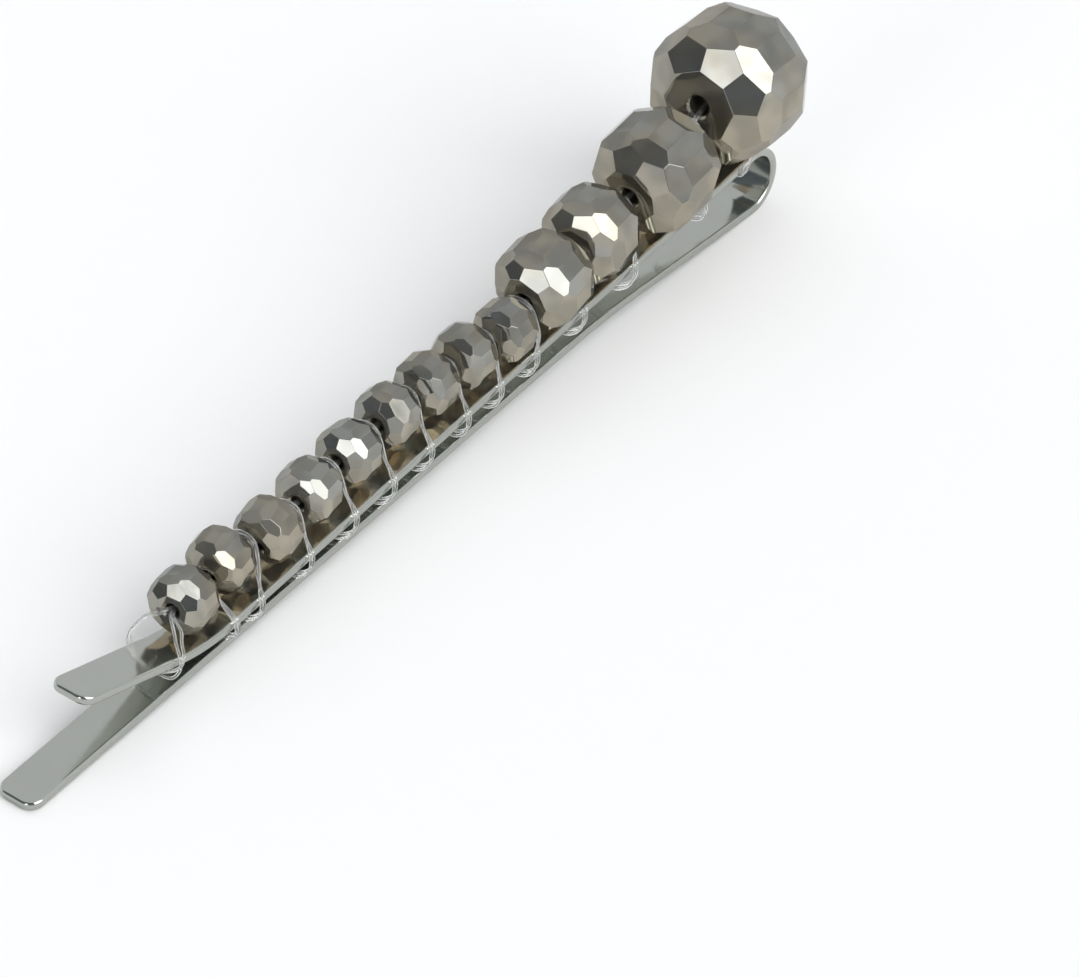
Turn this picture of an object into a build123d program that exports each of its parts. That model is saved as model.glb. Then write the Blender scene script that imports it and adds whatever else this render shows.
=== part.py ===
from build123d import *
import math
import os

# Beaded hair slide: one springy strip of metal bent round on itself, with a row of faceted glass beads
# threaded on a clear line along its upper leg. Millimetres, +X from the fold to the tips, +Z up, the
# beads on top. The slide rests on the heel of its fold and on the tip of its lower leg.

# The strip that the pin is bent from
strip_width = 2.9
strip_thick = 0.6
edge_round = 0.2
tip_corner_radius = 0.85

# The bends of the pin
pin_length = 70.0
fold_inside_radius = 1.8
knee_from_fold = 18.0
knee_rise = 1.31
knee_bend_radius = 60.0
shoulder_from_fold = 11.8
shoulder_height = 3.54
shoulder_bend_radius = 60.0
pinch_from_tip = 14.8
pinch_gap = 0.25
pinch_bend_radius = 12.0
upper_tip_setback = 4.9
upper_tip_gap = 3.7

# The beads of each size: across the corners, along the bore, the bore, and how far they ride above the leg
bead_sizes = {
    "large": dict(across=9.9, along=7.6, bore=1.4, lift=0.3),
    "medium": dict(across=7.8, along=6.0, bore=1.2, lift=0.3),
    "small": dict(across=6.1, along=4.6, bore=1.0, lift=0.3),
    "tiny": dict(across=4.1, along=2.9, bore=0.9, lift=0.35),
}
bore_chamfer = 0.15

# The cut, half a bead from its bore to its middle: where each row's planes would meet the bead's axis and
# its middle plane, as shares of its half length and its half width, and how far round the row is turned
# as a share of the step between facets. The girdle's flats stand upright, so they have no row here.
facets_round = 8
facet_rows = (
    dict(row="crown", meets_axis=1.32, meets_middle=1.89, turned=0.0),
    dict(row="shoulder", meets_axis=3.22, meets_middle=1.038, turned=0.5),
)

# The row from the fold to the tips: the gap before each bead as a share of the common one, its side step as
# a share of the strip's width, its nose up, its nose sideways and its turn about its own bore in degrees
first_bead_from_fold = 3.2
bead_gap = 0.8
bead_row = (
    dict(size="large", gap=0.00, side=-0.06, nose_up=8.0, nose_side=6.0, turn=249.0),
    dict(size="medium", gap=1.60, side=0.10, nose_up=-5.0, nose_side=2.0, turn=230.0),
    dict(size="small", gap=1.14, side=-0.02, nose_up=3.0, nose_side=10.0, turn=251.0),
    dict(size="small", gap=0.50, side=0.10, nose_up=-4.0, nose_side=5.0, turn=246.0),
    dict(size="tiny", gap=0.38, side=0.15, nose_up=-3.0, nose_side=0.0, turn=232.0),
    dict(size="tiny", gap=0.39, side=-0.05, nose_up=0.0, nose_side=1.0, turn=267.0),
    dict(size="tiny", gap=0.38, side=-0.15, nose_up=-2.0, nose_side=4.0, turn=232.0),
    dict(size="tiny", gap=0.80, side=-0.20, nose_up=10.0, nose_side=11.0, turn=245.0),
    dict(size="tiny", gap=1.04, side=-0.13, nose_up=9.0, nose_side=7.0, turn=248.0),
    dict(size="tiny", gap=1.08, side=-0.09, nose_up=2.0, nose_side=9.0, turn=246.0),
    dict(size="tiny", gap=1.15, side=-0.03, nose_up=-9.0, nose_side=8.0, turn=260.0),
    dict(size="tiny", gap=0.75, side=-0.24, nose_up=-8.0, nose_side=8.0, turn=255.0),
    dict(size="tiny", gap=0.96, side=-0.12, nose_up=9.0, nose_side=12.0, turn=262.0),
)

# The clear line that the beads are threaded on: its thickness, its clearance to what it passes, its softest
# bend, where it turns under the upper leg, and how far it drops behind the first bead as a share of that bead
thread_diameter = 0.3
thread_clearance = 0.15
thread_bend_radius = 0.3
thread_turn_from_fold = 3.8
thread_drop = 0.4

# Places along the length, and the pin's middle line in side view
half_thick = strip_thick / 2
fold_radius = fold_inside_radius + half_thick
fold_end_x = -pin_length / 2
tip_x = pin_length / 2
fold_centre = Vector(fold_end_x + half_thick + fold_radius, 0, half_thick + fold_radius)
lower_tip = Vector(tip_x, 0, half_thick)
knee = Vector(fold_end_x + knee_from_fold, 0, half_thick + knee_rise)


def height_on_line(start, end, x):
    """Height at x of the straight line from start to end."""
    return start.Z + (end.Z - start.Z) * (x - start.X) / (end.X - start.X)


def tangent_point(point, centre, radius, side):
    """Where the line from a point touches a circle in side view; side is 1 for its top and -1 for its base."""
    away = point - centre
    lean = math.acos(radius / away.length)
    angle = math.atan2(away.Z, away.X) + side * lean
    return centre + Vector(math.cos(angle), 0, math.sin(angle)) * radius


def lower_top(x):
    """Height of the lower leg's upper face, between its tip and its knee."""
    return height_on_line(lower_tip, knee, x) + half_thick


pinch_x = tip_x - pinch_from_tip
upper_tip_x = tip_x - upper_tip_setback
shoulder = Vector(fold_end_x + shoulder_from_fold, 0, shoulder_height + half_thick)
pinch = Vector(pinch_x, 0, lower_top(pinch_x) + pinch_gap + half_thick)
upper_tip = Vector(upper_tip_x, 0, lower_top(upper_tip_x) + upper_tip_gap + half_thick)
heel = tangent_point(knee, fold_centre, fold_radius, -1)
crest = tangent_point(shoulder, fold_centre, fold_radius, 1)
fold_end = fold_centre - Vector(fold_radius, 0, 0)


def upper_top(x):
    """Height of the upper leg's top face at x, its small bend radii left out."""
    if x < crest.X:
        return fold_centre.Z + fold_radius + half_thick
    for start, end in ((crest, shoulder), (shoulder, pinch)):
        if x < end.X:
            return height_on_line(start, end, x) + half_thick
    return height_on_line(pinch, upper_tip, x) + half_thick


def make_pin():
    """The strip: its side view drawn one thickness wide, made as wide as the strip, its tips and edges rounded."""
    lower = FilletPolyline(lower_tip, knee, heel, radius=knee_bend_radius)
    fold = ThreePointArc(heel, fold_end, crest)
    upper = FilletPolyline(crest, shoulder, pinch, upper_tip, radius=[shoulder_bend_radius, pinch_bend_radius])
    path = Wire(lower.edges() + fold.edges() + upper.edges())
    start = path.position_at(0)
    along = path.tangent_at(0)
    section = Plane(origin=start, z_dir=along, x_dir=(0, 1, 0)) * Rectangle(strip_width, strip_thick)
    strip = sweep(section, path=path, transition=Transition.RIGHT)
    ends = [edge for edge in strip.edges() if is_tip_corner(edge)]
    strip = fillet(ends, tip_corner_radius)
    rims = [edge for edge in strip.edges() if not is_across_face(edge)]
    return fillet(rims, edge_round)


def is_tip_corner(edge):
    """True for the four short edges through the strip's thickness at its two ends."""
    return edge.geom_type == GeomType.LINE and abs(edge.length - strip_thick) < 1e-3


def is_across_face(edge):
    """True for edges that only divide a face, such as the lines where a flat stretch turns into a bend."""
    middle = edge.position_at(0.5)
    ends = (edge.position_at(0), edge.position_at(1))
    spans_width = abs(ends[0].Y - ends[1].Y) > strip_width * 0.9
    spans_thickness = abs(edge.length - strip_thick) < 1e-3
    return (spans_width and abs(middle.Y) < 1e-6) or spans_thickness


def make_bead(size):
    """A faceted rondelle along X, cut plane by plane, with its bore drilled and eased at both mouths."""
    half_across = size["across"] / 2
    half_along = size["along"] / 2
    step = 2 * math.pi / facets_round
    bead = Box(size["along"], size["across"], size["across"])
    for facet in range(facets_round):
        outward = radial(facet * step)
        flat = Plane(origin=outward * half_across * math.cos(step / 2), z_dir=outward)
        bead = split(bead, bisect_by=flat, keep=Keep.BOTTOM)
        for row in facet_rows:
            outward = radial((facet + row["turned"]) * step)
            foot = outward * row["meets_middle"] * half_across
            for end in (-1, 1):
                apex = Vector(end * row["meets_axis"] * half_along, 0, 0)
                across = outward.cross(Vector(1, 0, 0))
                slope = (apex - foot).cross(across)
                slope = slope * math.copysign(1, slope.dot(outward))
                bead = split(bead, bisect_by=Plane(origin=foot, z_dir=slope), keep=Keep.BOTTOM)
    bead -= Rot(0, 90, 0) * Cylinder(size["bore"] / 2, size["along"] * 2)
    mouths = bead.edges().filter_by(GeomType.CIRCLE)
    return chamfer(mouths, bore_chamfer)


def radial(angle):
    """Unit vector square to the bead's axis, at an angle round it."""
    return Vector(0, math.cos(angle), math.sin(angle))


def place_beads():
    """Where each bead of the row sits and how it is turned, from the fold to the tips."""
    places = []
    x = fold_end_x + first_bead_from_fold
    last_half = 0.0
    for bead in bead_row:
        size = bead_sizes[bead["size"]]
        half_along = size["along"] / 2
        if places:
            x += last_half + bead["gap"] * bead_gap + half_along
        last_half = half_along
        centre = Vector(x, bead["side"] * strip_width, upper_top(x) + size["lift"] + size["across"] / 2)
        place = Pos(centre) * Rot(0, 0, bead["nose_side"]) * Rot(0, -bead["nose_up"], 0) * Rot(bead["turn"], 0, 0)
        places.append(place)
    return places


def turn_under_leg(x):
    """Corners of one turn of the line under the upper leg at x, from its near side to its far side."""
    reach = thread_clearance + thread_diameter / 2
    side = strip_width / 2 + reach
    top = upper_top(x)
    bottom = top - strip_thick - 2 * reach
    return [Vector(x, side, top), Vector(x, side, bottom), Vector(x, -side, bottom), Vector(x, -side, top)]


def thread_route(places):
    """Corners of the line: a turn under the leg by the fold, every bore in its turn, and a turn by the tips."""
    reach = thread_clearance + thread_diameter / 2
    bores = []
    for place, bead in zip(places, bead_row):
        nose = (place * Pos(1, 0, 0)).position - place.position
        bores.append((place.position, nose * (bead_sizes[bead["size"]]["along"] / 2), nose))

    centre, half_bore, nose = bores[0]
    behind_first = centre - half_bore - nose * reach
    fold_turn = turn_under_leg(fold_end_x + thread_turn_from_fold)
    below_first = Vector(behind_first.X, fold_turn[0].Y, centre.Z - thread_drop * bead_sizes["large"]["across"])
    route = fold_turn[::-1] + [below_first, behind_first]

    gaps = [bead["gap"] * bead_gap for bead in bead_row] + [6 * reach]
    for index, (centre, half_bore, nose) in enumerate(bores):
        if index:
            route.append(centre - half_bore - nose * gaps[index] / 4)
        route.append(centre + half_bore + nose * gaps[index + 1] / 4)

    gap_slope = (upper_tip_gap - pinch_gap) / (upper_tip_x - pinch_x)
    free_x = pinch_x + (thread_diameter + 3 * thread_clearance - pinch_gap) / gap_slope
    return route + turn_under_leg(max(free_x, route[-1].X + 2 * reach))


def corner_radii(route):
    """For each inner corner, an arc as large as its two runs allow, up to the line's softest bend."""
    radii = []
    for before, corner, after in zip(route, route[1:], route[2:]):
        arriving = corner - before
        leaving = after - corner
        turn = math.radians(arriving.get_angle(leaving))
        room = 0.45 * min(arriving.length, leaving.length) / math.tan(turn / 2)
        radii.append(min(room, thread_bend_radius))
    return radii


def make_thread(places):
    """The clear line as one round solid along its route."""
    route = thread_route(places)
    path = FilletPolyline(*route, radius=corner_radii(route))
    section = Plane(origin=path @ 0, z_dir=path % 0) * Circle(thread_diameter / 2)
    return sweep(section, path=path)


def main():
    """Build every piece and write each one to its own file."""
    os.makedirs("parts", exist_ok=True)
    cut_beads = {name: make_bead(size) for name, size in bead_sizes.items()}
    places = place_beads()
    pieces = {"pin": make_pin(), "thread": make_thread(places)}
    for number, (place, bead) in enumerate(zip(places, bead_row), start=1):
        pieces[f"bead_{number:02d}"] = place * cut_beads[bead["size"]]
    middle = Compound(list(pieces.values())).bounding_box().center()
    for name, piece in pieces.items():
        export_step(Pos(-middle.X, -middle.Y, 0) * piece, f"parts/{name}.step")
    print("moved to the middle by", round(-middle.X, 4), round(-middle.Y, 4))


if __name__ == "__main__":
    main()
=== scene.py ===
import math
import random

import bmesh
import bpy
from bpy.props import FloatProperty, FloatVectorProperty, PointerProperty
from mathutils import Matrix, Vector
from mathutils.bvhtree import BVHTree


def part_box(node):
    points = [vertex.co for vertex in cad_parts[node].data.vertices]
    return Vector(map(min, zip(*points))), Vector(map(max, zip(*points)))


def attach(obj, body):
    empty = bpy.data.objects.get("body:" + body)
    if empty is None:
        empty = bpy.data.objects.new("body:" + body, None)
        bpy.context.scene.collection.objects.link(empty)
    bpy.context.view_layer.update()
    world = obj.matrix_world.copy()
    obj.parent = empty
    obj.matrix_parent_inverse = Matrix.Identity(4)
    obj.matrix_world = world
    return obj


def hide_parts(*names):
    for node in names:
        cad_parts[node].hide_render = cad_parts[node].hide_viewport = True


bl_info = {
    "name": "Beaded Hair Slide",
    "version": (1, 0, 0),
    "blender": (4, 5, 0),
    "location": "3D View > Sidebar > Hair Slide",
    "description": "Cuts, threads and finishes a beaded hair slide around its frame",
    "category": "Object",
}

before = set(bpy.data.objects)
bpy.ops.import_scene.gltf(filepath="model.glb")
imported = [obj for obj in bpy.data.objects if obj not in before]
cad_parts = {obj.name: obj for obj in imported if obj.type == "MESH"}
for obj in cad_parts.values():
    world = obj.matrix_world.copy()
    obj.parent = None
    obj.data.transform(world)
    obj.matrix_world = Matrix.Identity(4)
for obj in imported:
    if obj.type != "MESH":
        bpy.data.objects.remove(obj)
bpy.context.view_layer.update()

MM = 0.001
BODY = "root"
BEADS = sorted(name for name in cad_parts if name.startswith("bead_"))

# How each bead sits, from the fold to the tips: nose up, nose sideways, turn about its bore, in degrees
BEAD_POSES = (
    (8.0, 6.0, 249.0), (-5.0, 2.0, 230.0), (3.0, 10.0, 251.0), (-4.0, 5.0, 246.0), (-3.0, 0.0, 232.0),
    (0.0, 1.0, 267.0), (-2.0, 4.0, 232.0), (10.0, 11.0, 245.0), (9.0, 7.0, 248.0), (2.0, 9.0, 246.0),
    (-9.0, 8.0, 260.0), (-8.0, 8.0, 255.0), (9.0, 12.0, 262.0),
)

# The cut of half a bead: where each row's planes meet the axis and the middle plane, as shares of the half
# length and the half width, and how far round the row is turned as a share of the step between facets
FACETS_ROUND = 8
FACET_ROWS = ((1.32, 1.89, 0.0), (3.22, 1.038, 0.5))

# How far up its slope lies the point that a leaning facet turns about, the share of the waver that the facets
# of the middle row show, and the smallest angle between two facets, in radians, whose edge is softened
FACET_PIVOT = 0.45
MIDDLE_ROW_WAVER = 0.3
SOFTENED_ANGLE = 0.02

# The hand-fed facets on the tips' side that lean most: bead, row, place round, and the lean along X, Y and Z,
# in degrees
LEANING_FACETS = (
    (1, 0, 3, 0.0, 0.0, 3.0), (4, 0, 5, 0.0, 0.0, 4.2), (7, 1, 3, 0.0, 0.0, 3.0), (8, 0, 4, -0.6, 3.2, 0.0),
    (8, 1, 3, -3.5, -1.3, 0.0), (10, 0, 5, 0.0, 0.0, -3.5),
)

STRIP_THICKNESS = 0.6 * MM

# The lashing turns between the beads: the gap's number, how high the turn rises over the line and how wide it
# stands off its middle, how far along it crosses the leg's near edge, and how far its loop reaches on and
# hangs under the leg, in millimetres
LASHING_TURNS = (
    (1, 1.00, 1.2, 0.35, 0.9, 0.25), (2, 0.60, 1.0, 0.50, 1.7, 0.40), (3, 0.70, 1.3, 0.30, 1.6, 0.40),
    (4, 0.80, 1.2, 0.05, 1.4, 0.40), (5, 0.95, 0.9, 0.37, 1.3, 0.38), (6, 0.90, 1.0, 0.36, 1.2, 0.36),
    (7, 0.90, 1.0, 0.50, 1.4, 0.36), (8, 0.95, 1.1, 0.26, 1.4, 0.36), (9, 0.95, 1.0, 0.05, 1.5, 0.36),
    (10, 0.60, 1.0, 0.36, 1.3, 0.32), (11, 0.95, 1.2, 1.10, 1.3, 0.32), (12, 0.50, 0.8, -0.20, 0.7, 0.18),
)

# The walls of the light tent: pale all round, and dim where the camera stands
PALE_WALL = (0.98, 1.0, 1.02, 1)
DIM_WALL = (0.175, 0.2, 0.225, 1)

# The camera's focal length as fitted to the photo, and the photo's width, both in its pixels
FOCAL_PIXELS = 4737.9
PHOTO_WIDTH_PIXELS = 1080


# Sizes and colours that can be changed

class StripLooks(bpy.types.PropertyGroup):
    plate_colour: FloatVectorProperty(
        name="Plate colour", description="Colour of the bright nickel plate", subtype="COLOR", size=3,
        default=(0.57, 0.585, 0.545), min=0, max=1)
    plate_roughness: FloatProperty(
        name="Plate roughness", description="How much the plate blurs what it mirrors", default=0.11, min=0,
        max=1)
    scuff_depth: FloatProperty(
        name="Scuff depth", description="Depth of the fine drawing lines and scuffs", default=0.012 * MM,
        unit="LENGTH", precision=6)


class BeadLooks(bpy.types.PropertyGroup):
    coat_colour: FloatVectorProperty(
        name="Coat colour", description="Colour of the mirror-like coat on the glass", subtype="COLOR",
        size=3, default=(0.345, 0.334, 0.293), min=0, max=1)
    coat_roughness: FloatProperty(
        name="Coat roughness", description="How much the coat blurs what it mirrors", default=0.05, min=0,
        max=1)
    facet_edge: FloatProperty(
        name="Facet edge", description="Width of the soft edge between facets, as a share of the bead width",
        default=0.003, min=0, max=0.05)
    facet_waver: FloatProperty(
        name="Facet waver", description="How far a hand-fed facet may lean from its place",
        default=math.radians(0.7), unit="ROTATION")
    bore_mouth: FloatProperty(
        name="Bore mouth", description="Depth of the eased edge round the bore", default=0.15 * MM,
        unit="LENGTH")


class LineLooks(bpy.types.PropertyGroup):
    strand_diameter: FloatProperty(
        name="Strand diameter", description="Thickness of one strand of the doubled line", default=0.19 * MM,
        unit="LENGTH", precision=6)
    line_colour: FloatVectorProperty(
        name="Line colour", description="Tint of the clear nylon line", subtype="COLOR", size=3,
        default=(0.93, 0.94, 0.93), min=0, max=1)


class StudioLooks(bpy.types.PropertyGroup):
    floor_colour: FloatVectorProperty(
        name="Floor colour", description="Colour of the pale floor", subtype="COLOR", size=3,
        default=(0.84, 0.84, 0.84), min=0, max=1)
    room_light: FloatProperty(
        name="Room light", description="Brightness of the walls of the light tent", default=0.62, min=0)
    key_light: FloatProperty(
        name="Key light", description="Brightness of the tall panel to the right", default=3.4, min=0)
    side_light: FloatProperty(
        name="Side light", description="Brightness of the small panel to the left", default=3.4, min=0)
    top_light: FloatProperty(
        name="Top light", description="Brightness of the wide lamp over the floor", default=0.55, min=0)
    view_azimuth: FloatProperty(
        name="View azimuth", description="Where the camera stands, round from +X",
        default=math.radians(38.574), unit="ROTATION")
    view_elevation: FloatProperty(
        name="View elevation", description="How high the camera looks down from",
        default=math.radians(41.005), unit="ROTATION")
    view_roll: FloatProperty(
        name="View roll", description="Lean of the camera about its line of sight",
        default=math.radians(-1.06), unit="ROTATION")
    view_distance: FloatProperty(
        name="View distance", description="From the camera to the point it looks at", default=274.748 * MM,
        unit="LENGTH")
    view_target: FloatVectorProperty(
        name="View target", description="The point that the camera looks at", size=3, subtype="XYZ",
        default=(0.630 * MM, 9.899 * MM, 4.0 * MM))
    focal_share: FloatProperty(
        name="Focal share", description="Focal length as a share of the picture's width",
        default=FOCAL_PIXELS / PHOTO_WIDTH_PIXELS)


class HairSlideSettings(bpy.types.PropertyGroup):
    strip: PointerProperty(type=StripLooks)
    beads: PointerProperty(type=BeadLooks)
    line: PointerProperty(type=LineLooks)
    studio: PointerProperty(type=StudioLooks)


# Materials

class Shade:
    """A node's output; plain arithmetic on it adds Math nodes to its material."""

    def __init__(self, finish, socket):
        self.finish = finish
        self.socket = socket

    def _math(self, operation, first, second):
        return self.finish.node("ShaderNodeMath", {"operation": operation}, {0: first, 1: second})

    def __add__(self, other):
        return self._math("ADD", self, other)

    def __radd__(self, other):
        return self._math("ADD", other, self)

    def __sub__(self, other):
        return self._math("SUBTRACT", self, other)

    def __rsub__(self, other):
        return self._math("SUBTRACT", other, self)

    def __mul__(self, other):
        return self._math("MULTIPLY", self, other)

    def __rmul__(self, other):
        return self._math("MULTIPLY", other, self)


class Finish:
    """A node tree in the making, of a material or of the world."""

    def __init__(self, owner):
        owner.use_nodes = True
        self.owner = owner
        self.tree = owner.node_tree
        self.tree.nodes.clear()

    def node(self, kind, settings=None, sockets=None, output=0):
        """Adds a node: its settings first, then the values and links of its sockets."""
        made = self.tree.nodes.new(kind)
        for name, value in (settings or {}).items():
            setattr(made, name, value)
        for name, value in (sockets or {}).items():
            if isinstance(value, Shade):
                self.tree.links.new(value.socket, made.inputs[name])
            else:
                made.inputs[name].default_value = value
        return Shade(self, made.outputs[output]) if made.outputs else None

    def place(self):
        """Object coordinates, in metres, because every piece's object sits at the origin."""
        return self.node("ShaderNodeTexCoord", output="Object")

    def upward(self, facing):
        """How far a surface faces up, from -1 to 1."""
        return self.node("ShaderNodeSeparateXYZ", {}, {0: facing}, output="Z")

    def noise(self, where, scale, detail, roughness=0.5):
        """Cloudy noise about 0.5; the scale is in clouds to the metre."""
        return self.node("ShaderNodeTexNoise", {}, {"Vector": where, "Scale": scale, "Detail": detail,
                                                    "Roughness": roughness})

    def streaks(self, where, scales, detail, roughness):
        """The same noise with its own scale along each axis."""
        drawn = self.node("ShaderNodeMapping", {}, {"Vector": where, "Scale": scales})
        return self.noise(drawn, 1.0, detail, roughness)

    def window(self, value, low, high):
        """0 below low, 1 above high, and a soft step between."""
        return self.node("ShaderNodeMapRange", {"interpolation_type": "SMOOTHSTEP"},
                         {"Value": value, "From Min": low, "From Max": high, "To Min": 0.0, "To Max": 1.0})

    def mix(self, factor, first, second, blend="MIX"):
        """The first colour at factor 0 and the second, or its blend with the first, at 1."""
        return self.node("ShaderNodeMix", {"data_type": "RGBA", "blend_type": blend},
                         {0: factor, 6: first, 7: second}, output=2)

    def bump(self, height, distance, strength):
        return self.node("ShaderNodeBump", {}, {"Height": height, "Distance": distance, "Strength": strength})

    def surface(self, sockets):
        """Ends a material in one Principled shader."""
        shader = self.node("ShaderNodeBsdfPrincipled", {}, sockets)
        self.node("ShaderNodeOutputMaterial", {}, {"Surface": shader})
        return self.owner


def opaque(colour):
    return (*colour, 1.0)


def tinted(colour, red, green, blue):
    """The colour with its three parts times these shares."""
    return opaque(min(1.0, part * share) for part, share in zip(colour, (red, green, blue)))


def dimmed(colour, share):
    return tinted(colour, share, share, share)


def plated_strip(looks):
    """Bright nickel plate: mirror-like, with faint drawing lines along the strip, a few scuffs, and painted
    shade darkening its sideways-facing cut edges, which are also rougher.
    """
    finish = Finish(bpy.data.materials.new("bright nickel plate"))
    where = finish.place()
    lines = finish.streaks(where, (60, 2600, 2600), detail=3.0, roughness=0.6)
    cloud = finish.noise(where, scale=420.0, detail=3.0)
    scuffs = finish.window(finish.streaks(where, (500, 3800, 1800), detail=4.0, roughness=0.7), 0.62, 0.78)
    colour = finish.mix(cloud, dimmed(looks.plate_colour, 0.94), dimmed(looks.plate_colour, 1.05))
    rough = looks.plate_roughness * 0.75 + cloud * (looks.plate_roughness * 0.5) + scuffs * 0.10
    upward = finish.upward(finish.node("ShaderNodeTexCoord", output="Normal"))
    # Painted shade: faces that face sideways, the cut edges, get a darker plate colour; they are also made
    # rougher
    edge_shade_and_roughness = 1 - finish.window(upward * upward, 0.10, 0.45)
    colour = finish.mix(edge_shade_and_roughness, colour, dimmed(looks.plate_colour, 0.72))
    rough = rough + edge_shade_and_roughness * 0.12
    relief = lines * 0.6 + scuffs * 0.4
    return finish.surface({"Metallic": 0.97, "Base Color": colour, "Roughness": rough,
                           "Normal": finish.bump(relief, looks.scuff_depth, strength=0.35)})


def coated_glass(looks):
    """Opaque mirror-like coat on cut glass: grey, with a painted warm reflection on the lower facets, a
    little cloudy, with specks and waves.
    """
    finish = Finish(bpy.data.materials.new("coated glass"))
    where = finish.place()
    patch = finish.noise(where, scale=260.0, detail=2.0)
    waves = finish.noise(where, scale=900.0, detail=2.0)
    specks = finish.window(finish.noise(where, scale=5200.0, detail=3.0, roughness=0.7), 0.66, 0.80)
    cool = tinted(looks.coat_colour, 0.95, 1.0, 1.07)
    warm = tinted(looks.coat_colour, 1.04, 0.99, 0.92)
    warm_reflection_below = tinted(looks.coat_colour, 1.26, 1.19, 1.06)
    warmer_reflection_at_bottom = tinted(looks.coat_colour, 1.65, 1.34, 1.05)
    facing = finish.node("ShaderNodeTexCoord", output="Normal")
    upward = finish.upward(facing)
    # Painted warm reflection: facets that face down are tinted lighter and golden, and those facing straight
    # down lighter still and bronze
    underside_reflection_mask = 1 - finish.window(upward, -0.15, 0.4)
    bottom_reflection_mask = 1 - finish.window(upward, -0.8, -0.4)
    colour = finish.mix(finish.window(patch, 0.35, 0.65), cool, warm)
    colour = finish.mix(underside_reflection_mask * 0.9, colour, warm_reflection_below)
    colour = finish.mix(bottom_reflection_mask * 0.9, colour, warmer_reflection_at_bottom)
    # Noise that depends mostly on where a facet faces gives each facet its own tone
    facet = finish.node("ShaderNodeVectorMath", {"operation": "MULTIPLY_ADD"},
                        {0: where, 1: (170, 170, 170), 2: facing})
    tone = finish.window(finish.noise(facet, scale=2.6, detail=1.0), 0.36, 0.64)
    colour = finish.mix(tone * 0.42, colour, dimmed(looks.coat_colour, 0.45))
    rough = looks.coat_roughness * 0.7 + waves * (looks.coat_roughness * 0.6) + specks * 0.12
    return finish.surface({"Metallic": 0.86, "Base Color": colour, "Roughness": rough,
                           "Specular Tint": (0.6, 0.6, 0.6, 1.0),
                           "Normal": finish.bump(waves + specks * 0.05, 0.02 * MM, strength=0.2)})


def clear_line(looks):
    """Clear nylon line: glass-like, with faint drawing marks."""
    finish = Finish(bpy.data.materials.new("clear nylon line"))
    where = finish.place()
    marks = finish.noise(where, scale=2400.0, detail=2.0)
    rough = 0.06 + marks * 0.08
    return finish.surface({"Base Color": opaque(looks.line_colour), "Roughness": rough, "IOR": 1.53,
                           "Transmission Weight": 0.9, "Specular IOR Level": 0.6,
                           "Normal": finish.bump(marks, 0.01 * MM, strength=0.2)})


def pale_floor(looks):
    """A matt pale sheet."""
    finish = Finish(bpy.data.materials.new("pale floor"))
    return finish.surface({"Base Color": opaque(looks.floor_colour), "Roughness": 0.75,
                           "Specular IOR Level": 0.2})


# Shared ways of making a piece

def slide_settings():
    return bpy.context.scene.hair_slide


def add_piece(name, bm, material, smooth=False):
    """Puts a finished bmesh, in metres and in its place in the frame, into the scene as one object."""
    mesh = bpy.data.meshes.new(name)
    bm.to_mesh(mesh)
    bm.free()
    for face in mesh.polygons:
        face.use_smooth = smooth
    mesh.materials.append(material)
    piece = bpy.data.objects.new(name, mesh)
    bpy.context.scene.collection.objects.link(piece)
    return piece


def wear(node, material):
    """Gives a CAD node a finish in place of its plain one."""
    for slot in node.material_slots:
        slot.material = material


def strand(points, diameter, closed=False):
    """One bare strand of the line as a bmesh: a smooth NURBS curve along given points, made round."""
    curve = bpy.data.curves.new("strand", "CURVE")
    curve.dimensions = "3D"
    curve.bevel_depth = diameter / 2
    curve.bevel_resolution = 3
    curve.resolution_u = 6
    curve.use_fill_caps = True
    spline = curve.splines.new("NURBS")
    spline.points.add(len(points) - 1)
    for control, point in zip(spline.points, points):
        control.co = (*point, 1.0)
    spline.order_u = 3
    spline.use_cyclic_u = closed
    spline.use_endpoint_u = not closed
    carrier = bpy.data.objects.new("strand", curve)
    bpy.context.scene.collection.objects.link(carrier)
    bpy.context.view_layer.update()
    shaped = carrier.evaluated_get(bpy.context.evaluated_depsgraph_get())
    bm = bmesh.new()
    bm.from_mesh(bpy.data.meshes.new_from_object(shaped))
    bpy.data.objects.remove(carrier)
    bpy.data.curves.remove(curve)
    bmesh.ops.remove_doubles(bm, verts=bm.verts, dist=diameter * 0.01)
    bmesh.ops.recalc_face_normals(bm, faces=bm.faces)
    return bm


def add_line(name, bm, material):
    """Puts strands into the scene as one piece of the line."""
    piece = add_piece(name, bm, material, smooth=True)
    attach(piece, BODY)
    return piece


class Leg:
    """Where the upper leg lies, read from the pin in the frame."""

    def __init__(self):
        bm = bmesh.new()
        bm.from_mesh(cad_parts["pin"].data)
        self.tree = BVHTree.FromBMesh(bm)
        bm.free()
        low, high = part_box("pin")
        self.near = high.y
        self.far = low.y
        self.middle = (low.y + high.y) / 2
        self.sky = high.z + 10 * MM
        self.thick = STRIP_THICKNESS

    def top(self, x):
        """Height of the leg's top face at x."""
        hit = self.tree.ray_cast(Vector((x, self.middle, self.sky)), Vector((0, 0, -1)))
        if hit[0] is None:
            raise RuntimeError(f"the pin has no metal at x = {x:.4f}")
        return hit[0].z

    def room(self, x):
        """Height of the lower leg's top face at x, looked for from just under the upper leg."""
        under = self.top(x) - self.thick * 1.05
        hit = self.tree.ray_cast(Vector((x, self.middle, under)), Vector((0, 0, -1)))
        return hit[0].z if hit[0] else 0.0


# The beads

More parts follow.
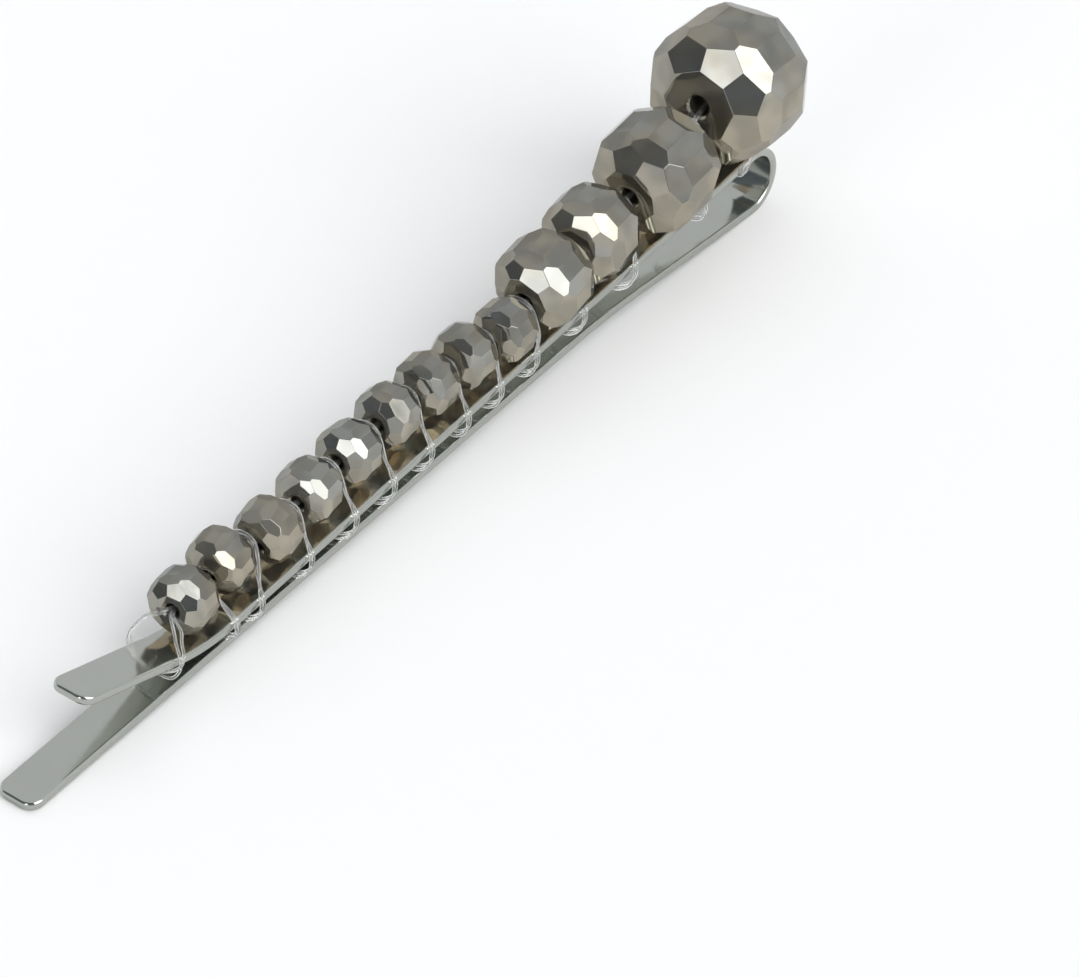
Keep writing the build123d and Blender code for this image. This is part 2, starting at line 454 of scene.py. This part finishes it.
class BeadPlace:
    """Where a bead of the row sits: its turned axes, and its middle and length read from its solid."""

    def __init__(self, number):
        nose_up, nose_side, turn = (math.radians(angle) for angle in BEAD_POSES[number])
        self.turned = (Matrix.Rotation(nose_side, 4, "Z") @ Matrix.Rotation(-nose_up, 4, "Y")
                       @ Matrix.Rotation(turn, 4, "X"))
        low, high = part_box(BEADS[number])
        self.centre = (low + high) / 2
        self.back = self.turned.inverted()
        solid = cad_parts[BEADS[number]].data
        self.own = [self.back @ (vert.co - self.centre) for vert in solid.vertices]
        self.along = 2 * max(point.x for point in self.own)
        self.nose = self.turned @ Vector((1, 0, 0))

    def on_bore(self, share):
        """A point on the bore's middle line, at a share of the bead's half length."""
        return self.centre + self.nose * (self.along / 2 * share)


def keep_inside(bm, point, outward):
    """Cuts away what lies beyond a plane and closes the cut with one flat face."""
    cut = bmesh.ops.bisect_plane(bm, geom=bm.verts[:] + bm.edges[:] + bm.faces[:], dist=1e-5,
                                 plane_co=point, plane_no=outward, clear_outer=True)
    rim = [part for part in cut["geom_cut"] if isinstance(part, bmesh.types.BMEdge)]
    if rim:
        bmesh.ops.edgeloop_fill(bm, edges=rim)


def radial(angle):
    """The direction away from X at an angle round it."""
    return Vector((0, math.cos(angle), math.sin(angle)))


def lean(direction, waver, chance):
    """The direction, leant a little to a chance side."""
    side = Vector((chance.uniform(-1, 1), chance.uniform(-1, 1), chance.uniform(-1, 1))) * waver
    return (direction + side).normalized()


def cut_bead(across, along, bore, mouth, edge, waver, chance, leaning):
    """A rondelle round X, in millimetres: a drum cut facet by facet, drilled, its edges softened. Leaning
    holds the side steps of the facets that lean most, by row and place round."""
    half_across = across / 2
    half_along = along / 2
    step = math.tau / FACETS_ROUND
    bm = bmesh.new()
    bmesh.ops.create_cone(bm, cap_ends=True, segments=FACETS_ROUND, radius1=half_across, radius2=half_across,
                          depth=along, matrix=Matrix.Rotation(math.pi / 2, 4, "Y"))
    for facet in range(FACETS_ROUND):
        outward = radial(facet * step)
        keep_inside(bm, outward * half_across * math.cos(step / 2),
                    lean(outward, waver * MIDDLE_ROW_WAVER, chance))
        for row, (meets_axis, meets_middle, turned) in enumerate(FACET_ROWS):
            outward = radial((facet + turned) * step)
            foot = outward * meets_middle * half_across
            for end in (-1, 1):
                apex = Vector((end * meets_axis * half_along, 0, 0))
                slope = (apex - foot).cross(outward.cross(Vector((1, 0, 0))))
                slope *= math.copysign(1, slope.dot(outward))
                pivot = foot.lerp(apex, FACET_PIVOT)
                facing = lean(slope.normalized(), waver, chance)
                if end == 1:
                    facing += leaning.get((row, facet), Vector())
                keep_inside(bm, pivot, facing.normalized())
    drill(bm, bore / 2, mouth)
    bmesh.ops.remove_doubles(bm, verts=bm.verts, dist=edge * 0.6)
    bm.normal_update()
    # The edges round the bore's mouths stay as they were drilled
    drilled = bore / 2 + mouth * 1.5
    sharp = [e for e in bm.edges if len(e.link_faces) == 2 and e.calc_face_angle() > SOFTENED_ANGLE
             and all(v.co.yz.length > drilled for v in e.verts)]
    bmesh.ops.bevel(bm, geom=sharp, offset=edge, offset_type="OFFSET", segments=2, profile=0.5,
                    affect="EDGES", clamp_overlap=True, material=-1)
    bmesh.ops.recalc_face_normals(bm, faces=bm.faces)
    return bm


def drill(bm, radius, mouth):
    """Opens the round bore from table to table, with an eased edge at both mouths."""
    rims = []
    for end in (-1, 1):
        bm.normal_update()
        table = max(bm.faces, key=lambda face: face.normal.x * end)
        apothem = min(((a.co + b.co) / 2).yz.length for a, b in zip(table.verts, table.verts[1:]))
        bmesh.ops.inset_individual(bm, faces=[table], thickness=apothem - radius - mouth,
                                   use_even_offset=True)
        bmesh.ops.subdivide_edges(bm, edges=table.edges[:], cuts=2)
        table = max(bm.faces, key=lambda face: (round(face.normal.x * end, 3),
                                                -face.calc_center_median().yz.length))
        for vert in table.verts:
            away = vert.co.yz.normalized() * (radius + mouth)
            vert.co.y, vert.co.z = away
        bmesh.ops.inset_individual(bm, faces=[table], thickness=mouth, depth=-mouth, use_even_offset=True)
        rims += table.edges[:]
        bmesh.ops.delete(bm, geom=[table], context="FACES_ONLY")
    bmesh.ops.bridge_loops(bm, edges=rims)


class HAIRSLIDE_OT_beads(bpy.types.Operator):
    """Cut, drill and place the thirteen beads"""

    bl_idname = "hair_slide.beads"
    bl_label = "Cut the Beads"

    def execute(self, context):
        setting = slide_settings().beads
        coat = coated_glass(setting)
        for number, name in enumerate(BEADS):
            place = BeadPlace(number)
            along = place.along / MM
            across = 2 * max(point.yz.length for point in place.own) / MM
            bore = 2 * min(point.yz.length for point in place.own) / MM
            leaning = {(row, facet): place.back @ Vector(math.radians(part) for part in leant)
                       for bead, row, facet, *leant in LEANING_FACETS if bead == number + 1}
            bm = cut_bead(across, along, bore, setting.bore_mouth / MM, setting.facet_edge * across,
                          setting.facet_waver, random.Random(100 + number), leaning)
            home = Matrix.Translation(place.centre) @ place.turned @ Matrix.Scale(MM, 4)
            bmesh.ops.transform(bm, matrix=home, verts=bm.verts)
            bead = add_piece("cut_" + name, bm, coat)
            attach(bead, BODY)
            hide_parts(name)
        return {"FINISHED"}


# The strip and the line

class HAIRSLIDE_OT_strip(bpy.types.Operator):
    """Give the bent strip its bright plate"""

    bl_idname = "hair_slide.strip"
    bl_label = "Plate the Strip"

    def execute(self, context):
        wear(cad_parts["pin"], plated_strip(slide_settings().strip))
        return {"FINISHED"}


class HAIRSLIDE_OT_lashing(bpy.types.Operator):
    """Wind the clear line round the upper leg between the beads"""

    bl_idname = "hair_slide.lashing"
    bl_label = "Wind the Lashing"

    def execute(self, context):
        setting = slide_settings().line
        self.line = clear_line(setting)
        self.width = setting.strand_diameter
        self.leg = Leg()
        self.thread()
        for number, *sizes in LASHING_TURNS:
            for inner in (0, 1):
                points = self.turn(number, inner, *(size * MM for size in sizes))
                turn = strand(points, self.width, closed=True)
                add_line(f"lashing_{number:02d}_{'ab'[inner]}", turn, self.line)
        return {"FINISHED"}

    def turn(self, number, inner, rise, stand_off, forward, reach, hang):
        """Points of one closed turn round the line and the leg: over the line, down the near side, under the
        leg and up the far side. The inner turn of a pair lies inside the outer one."""
        leg, width = self.leg, self.width
        before, after = (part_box(name) for name in BEADS[number - 1:number + 1])
        gap = (before[1].x + after[0].x) / 2
        bore = (before[0].z + before[1].z + after[0].z + after[1].z) / 4
        middle = (before[0].y + before[1].y + after[0].y + after[1].y) / 4
        inset = inner * width * 1.4
        crest = rise - inset
        stand_off -= inset
        cross = gap + forward - inner * width * 1.3
        hang = max(0.0, hang - inner * width * 1.1)
        top = leg.top(cross)
        under = top - leg.thick - width * 0.75
        low = max(under - hang, leg.room(cross + reach * 0.6) + width * 0.6)
        out = leg.near + width * 0.65
        back = leg.far - width * 0.65
        mid = (bore + top) / 2
        span = cross + reach - gap
        return [
            (gap, middle - stand_off * 0.6, bore + crest * 0.9),
            (gap, middle + stand_off * 0.5, bore + crest),
            (gap + (cross - gap) * 0.15, middle + stand_off * 0.95, bore + crest * 0.2),
            (gap + (cross - gap) * 0.6, middle + stand_off * 1.3, mid),
            (cross, out - width * 0.3, top + width * 1.1),
            (cross + reach * 0.05, out + width * 0.6, top - leg.thick * 0.5),
            (cross + reach * 0.3, out + width * 0.9, under - hang * 0.6),
            (cross + reach * 0.7, leg.near + 0.05 * MM, low),
            (cross + reach, leg.near - 0.5 * MM, (under + low) / 2),
            (cross + reach * 0.8, leg.far + 0.5 * MM, under),
            (gap + span * 0.6, back, under),
            (gap + span * 0.4, back, top),
            (gap + span * 0.15, middle - stand_off * 1.3, mid),
            (gap + forward * 0.1, middle - stand_off, bore),
        ]

    def thread(self):
        """The doubled line in place of the frame's plain one: through every bore, with a turn round the leg
        at each end of the row."""
        plies = bmesh.new()
        for side in (-0.5, 0.5):
            apart = side * self.width
            points = self.fold_turn(apart)
            for number in range(len(BEADS)):
                place = BeadPlace(number)
                points += [place.on_bore(share) + Vector((0, apart * 1.1, 0)) for share in (-0.8, 0.8)]
            points += self.tip_turn(apart)
            ply = strand(points, self.width)
            carrier = bpy.data.meshes.new("ply")
            ply.to_mesh(carrier)
            ply.free()
            plies.from_mesh(carrier)
            bpy.data.meshes.remove(carrier)
        line = add_line("doubled_line", plies, self.line)
        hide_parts("thread")

    def fold_turn(self, apart):
        """Points of the turn by the fold: under the leg, up its near side and behind the first bead to its
        bore."""
        leg, reach = self.leg, self.width
        place = BeadPlace(0)
        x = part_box(BEADS[0])[0].x + 4.6 * MM + apart * 1.6
        top = leg.top(x)
        under = top - leg.thick - reach
        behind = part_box("thread")[0].x + self.width * 0.6
        mouth = place.on_bore((behind - place.centre.x) / (place.nose.x * place.along / 2))
        return [
            (x, leg.far - reach, top - leg.thick * 0.5),
            (x, leg.far - reach, under),
            (x + 0.2 * MM, leg.middle, under),
            (x + 0.3 * MM, leg.near + reach, under),
            (x + 0.1 * MM, leg.near + reach * 1.4, top + reach),
            (x - 1.6 * MM, leg.near + reach, top + 0.5 * MM),
            (behind, leg.near + apart, top + 1.6 * MM),
            (behind, mouth.y + 0.9 * MM + apart, mouth.z - 0.9 * MM),
            (behind, mouth.y + apart * 1.1, mouth.z),
        ]

    def tip_turn(self, apart):
        """Points of the turn by the tips: down the near side, under the leg, up the far side and back to the
        bore."""
        leg, reach = self.leg, self.width * 0.7
        low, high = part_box(BEADS[-1])
        x, bore = high.x, (low.z + high.z) / 2
        step = apart * 1.7
        top = leg.top(x + 0.9 * MM)
        under = top - leg.thick - reach
        return [
            (x - 0.15 * MM, 0.2 * MM + step * 0.6, bore),
            (x + 0.05 * MM - step, 0.85 * MM + step, bore - 0.6 * MM),
            (x + 0.6 * MM - step, 1.35 * MM + step * 0.4, top + 0.75 * MM),
            (x + 0.8 * MM - step, leg.near + reach, top + 0.15 * MM),
            (x + 0.95 * MM - step, leg.near + reach * 1.4 - step * 0.5, top - leg.thick),
            (x + 1.6 * MM - step, leg.near - step * 0.5, under - 0.15 * MM + step),
            (x + 2.2 * MM, leg.near - 0.8 * MM, under + 0.2 * MM),
            (x + 2.0 * MM, leg.far + 0.6 * MM, under + 0.1 * MM),
            (x + 1.6 * MM + step, leg.far - reach * 1.5, under + 0.3 * MM),
            (x + 1.5 * MM + step, leg.far - reach * 2.2, top + 0.4 * MM),
            (x + 1.1 * MM + step, leg.far - reach * 1.8, bore - 0.75 * MM),
            (x + 0.5 * MM + step, leg.far + 0.1 * MM, bore - 0.2 * MM),
            (x - 0.1 * MM, -0.2 * MM + step * 0.6, bore + 0.15 * MM),
            (x - 0.7 * MM, -0.15 * MM, bore + 0.13 * MM),
        ]


# The stage

class HAIRSLIDE_OT_stage(bpy.types.Operator):
    """Lay the pale floor, set the soft lights and place the camera"""

    bl_idname = "hair_slide.stage"
    bl_label = "Set the Stage"

    def execute(self, context):
        setting = slide_settings().studio
        self.floor(setting)
        self.tent(setting)
        self.top_light(setting)
        self.camera(setting)
        context.scene.view_settings.view_transform = "Standard"
        return {"FINISHED"}

    def floor(self, setting):
        """The pale surface that the slide lies on."""
        bm = bmesh.new()
        bmesh.ops.create_circle(bm, cap_ends=True, segments=96, radius=3.0)
        floor = add_piece("floor", bm, pale_floor(setting))

    def tent(self, setting):
        """The walls of the light tent: pale, with two glowing panels, and dim on the camera's side."""
        world = bpy.data.worlds.new("light tent")
        bpy.context.scene.world = world
        finish = Finish(world)
        where = finish.node("ShaderNodeTexCoord", output="Generated")
        height = finish.node("ShaderNodeSeparateXYZ", {}, {0: where}, output="Z")
        flat = finish.node("ShaderNodeVectorMath", {"operation": "MULTIPLY"}, {0: where, 1: (1, 1, 0)})
        flat = finish.node("ShaderNodeVectorMath", {"operation": "NORMALIZE"}, {0: flat})

        def round_to(azimuth, none, full):
            """1 within full degrees of an azimuth, 0 beyond none, and soft between."""
            toward = (math.cos(math.radians(azimuth)), math.sin(math.radians(azimuth)), 0)
            facing = finish.node("ShaderNodeVectorMath", {"operation": "DOT_PRODUCT"}, {0: flat, 1: toward},
                                 output="Value")
            return finish.window(facing, math.cos(math.radians(none)), math.cos(math.radians(full)))

        def above(none, full):
            """0 below none degrees of height, 1 above full, and soft between."""
            return finish.window(height, math.sin(math.radians(none)), math.sin(math.radians(full)))

        dim = round_to(azimuth=-3, none=66, full=55) * (1 - above(none=75, full=84))
        key = round_to(azimuth=89, none=32, full=23) * above(none=12, full=22) * (1 - above(none=64, full=76))
        side = round_to(azimuth=1, none=11, full=4) * above(none=-2, full=4) * (1 - above(none=24, full=44))
        wall = finish.mix(dim, PALE_WALL, DIM_WALL)
        key_share = setting.key_light / setting.room_light
        side_share = setting.side_light / setting.room_light
        colour = finish.mix(1.0, wall, key * key_share + side * side_share, blend="ADD")
        light = finish.node("ShaderNodeBackground", {}, {"Color": colour, "Strength": setting.room_light})
        finish.node("ShaderNodeOutputWorld", {}, {"Surface": light})

    def top_light(self, setting):
        """A wide square lamp high over the slide, which nothing mirrors; its brightness is its radiance."""
        width, distance = 1.6, 0.9
        away = self.toward(around=math.radians(220), up=math.radians(80))
        lamp = bpy.data.lights.new("top light", "AREA")
        lamp.shape = "RECTANGLE"
        lamp.size, lamp.size_y = width, width
        lamp.energy = setting.top_light * math.pi * width * width
        holder = bpy.data.objects.new("top light", lamp)
        holder.location = away * distance
        holder.rotation_euler = away.to_track_quat("Z", "Y").to_euler()
        holder.visible_glossy = False
        bpy.context.scene.collection.objects.link(holder)

    def toward(self, around, up):
        """The direction from the slide at these angles round it and up."""
        return Vector((math.cos(up) * math.cos(around), math.cos(up) * math.sin(around), math.sin(up)))

    def camera(self, setting):
        """The camera as it stood for the photo, with its lean about the line of sight."""
        around = setting.view_azimuth
        back = self.toward(around, setting.view_elevation)
        right = Vector((-math.sin(around), math.cos(around), 0))
        above = back.cross(right)
        roll = setting.view_roll
        side = right * math.cos(roll) + above * math.sin(roll)
        crown = above * math.cos(roll) - right * math.sin(roll)
        data = bpy.data.cameras.new("camera")
        data.sensor_fit = "HORIZONTAL"
        data.sensor_width = 36.0
        data.lens = setting.focal_share * data.sensor_width
        data.clip_start = 0.01
        data.clip_end = 20.0
        camera = bpy.data.objects.new("camera", data)
        bpy.context.scene.collection.objects.link(camera)
        turned = Matrix((side, crown, back)).transposed().to_4x4()
        place = Vector(setting.view_target) + back * setting.view_distance
        camera.matrix_world = Matrix.Translation(place) @ turned
        bpy.context.scene.camera = camera


class HAIRSLIDE_PT_maker(bpy.types.Panel):
    bl_label = "Hair Slide"
    bl_idname = "HAIRSLIDE_PT_maker"
    bl_space_type = "VIEW_3D"
    bl_region_type = "UI"
    bl_category = "Hair Slide"

    def draw(self, context):
        setting = slide_settings()
        for group, operator in ((setting.strip, "hair_slide.strip"), (setting.beads, "hair_slide.beads"),
                                (setting.line, "hair_slide.lashing"), (setting.studio, "hair_slide.stage")):
            box = self.layout.box()
            for name in group.__annotations__:
                box.prop(group, name)
            box.operator(operator)


CLASSES = (StripLooks, BeadLooks, LineLooks, StudioLooks, HairSlideSettings, HAIRSLIDE_OT_strip,
           HAIRSLIDE_OT_beads, HAIRSLIDE_OT_lashing, HAIRSLIDE_OT_stage, HAIRSLIDE_PT_maker)


def register():
    for cls in CLASSES:
        bpy.utils.register_class(cls)
    bpy.types.Scene.hair_slide = PointerProperty(type=HairSlideSettings)


def unregister():
    del bpy.types.Scene.hair_slide
    for cls in reversed(CLASSES):
        bpy.utils.unregister_class(cls)


def main():
    register()
    bpy.ops.hair_slide.stage()
    bpy.ops.hair_slide.strip()
    bpy.ops.hair_slide.beads()
    bpy.ops.hair_slide.lashing()


if __name__ == "__main__":
    main()
